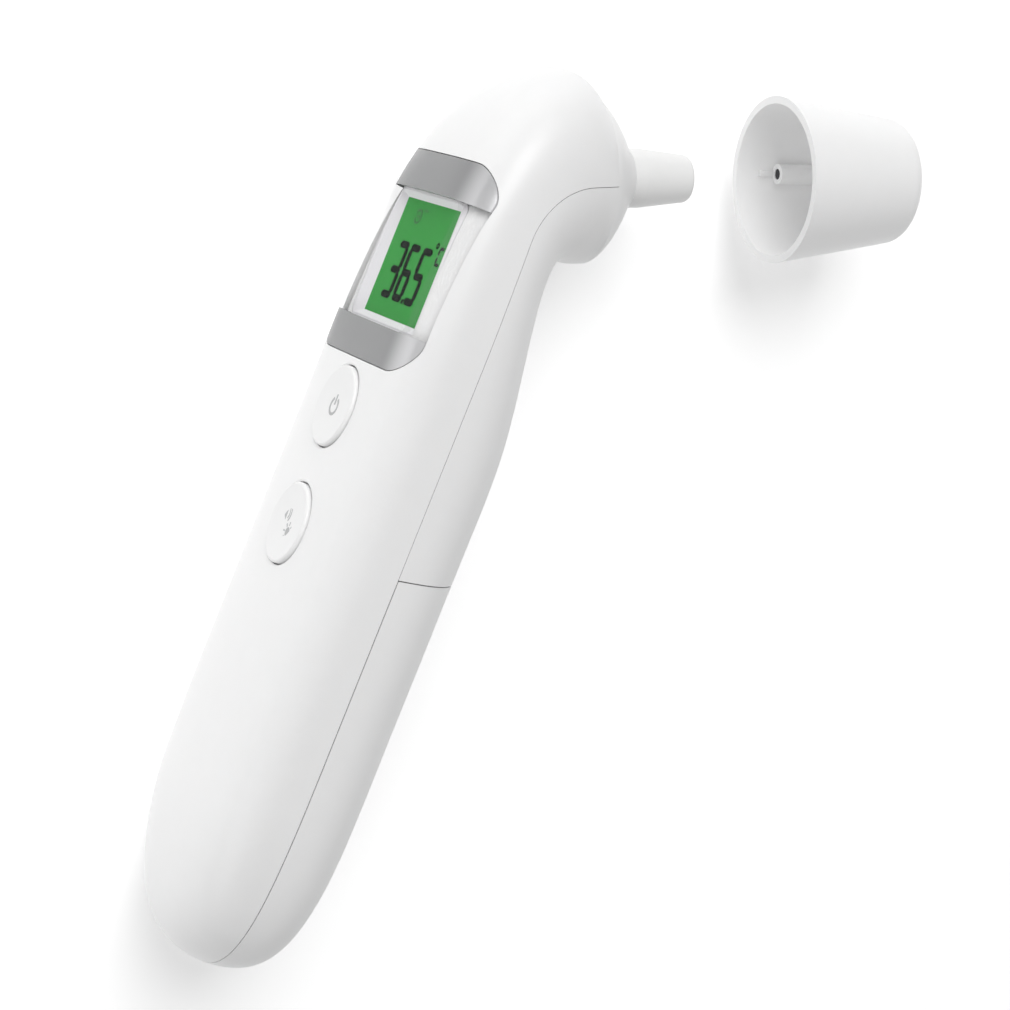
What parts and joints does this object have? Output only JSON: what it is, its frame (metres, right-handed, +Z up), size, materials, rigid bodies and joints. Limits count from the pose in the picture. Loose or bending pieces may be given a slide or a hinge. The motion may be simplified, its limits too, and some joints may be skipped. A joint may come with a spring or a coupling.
{
  "type": "digital ear thermometer",
  "caption": "Handheld infrared ear thermometer with a tilted probe, push-on probe cap, display panel, round buttons and a sliding battery door.",
  "frame": {"origin": "centre of the bounding box at its bottom, with the thermometer lying on its left side, as on a table", "axes": "+X from the display face to the back, the side the probe points to; +Y up the handle, from the battery end to the head; +Z up, the thermometer's own right-hand side"},
  "size_m": [0.0856, 0.1728, 0.04],
  "materials": {
    "shell_white": "satin",
    "probe_white": "satin",
    "button_white": "satin",
    "cap_white": "satin",
    "panel_silver": "satin",
    "window_clear": "polished",
    "surround_white": "matte",
    "lcd_green": "satin",
    "diffuser": "matte",
    "strip_rubber": "matte",
    "board_green": "satin",
    "chip_black": "matte",
    "plated_steel": "polished",
    "screw_steel": "satin",
    "gold_tube": "polished",
    "block_metal": "satin",
    "cell_can": "satin",
    "tray_white": "matte",
    "cable_film": "satin",
    "wire_red": "satin",
    "wire_black": "satin",
    "magnet_dark": "satin",
    "film_clear": "polished"
  },
  "bodies": {
    "handset": {"front_shell": "shell_white", "rear_shell": "shell_white", "nose_dome": "shell_white", "probe_sleeve": "probe_white", "probe_window": "film_clear", "waveguide_tube": "gold_tube", "sensor_block": "block_metal", "thermopile_sensor": "plated_steel", "sensor_board": "board_green", "hall_sensor": "chip_black", "sensor_cable": "cable_film", "cable_socket": "surround_white", "display_bezel": "panel_silver", "display_lens": "window_clear", "lcd_surround": "surround_white", "lcd_glass": "lcd_green", "lcd_backlight": "diffuser", "zebra_strip": "strip_rubber", "main_board": "board_green", "controller_chip": "chip_black", "crystal_can": "plated_steel", "smoothing_capacitor": "plated_steel", "power_switch": "chip_black", "mode_switch": "chip_black", "buzzer": "chip_black", "battery_tray": "tray_white", "battery_left": "cell_can", "battery_right": "cell_can", "contact_positive": "plated_steel", "contact_negative": "plated_steel", "bridge_contact": "plated_steel", "negative_spring": "plated_steel", "bridge_spring": "plated_steel", "battery_wire_red": "wire_red", "battery_wire_black": "wire_black", "board_screw_a": "screw_steel", "board_screw_b": "screw_steel", "board_screw_c": "screw_steel", "case_screw_left": "screw_steel", "case_screw_right": "screw_steel", "tray_screw": "screw_steel"},
    "power_button": {"power_button": "button_white"},
    "mode_button": {"mode_button": "button_white"},
    "battery_door": {"battery_door": "shell_white"},
    "probe_cap": {"probe_cap": "cap_white", "cap_magnet": "magnet_dark"}
  },
  "joints": [
    {"name": "power_button_press", "type": "slide", "parent": "handset", "child": "power_button", "axis": [1, 0, 0], "range_m": [0, 0.0005], "stiffness_N_per_m": 400, "springref_m": -0.0004},
    {"name": "mode_button_press", "type": "slide", "parent": "handset", "child": "mode_button", "axis": [1, 0, 0], "range_m": [0, 0.0005], "stiffness_N_per_m": 400, "springref_m": -0.0004},
    {"name": "battery_door_slide", "type": "slide", "parent": "handset", "child": "battery_door", "axis": [0, -1, 0], "range_m": [0, 0.075]},
    {"name": "probe_cap_slide", "type": "slide", "parent": "handset", "child": "probe_cap", "axis": [0.9342, 0.3567, 0], "range_m": [-0.0346, 0]}
  ]
}
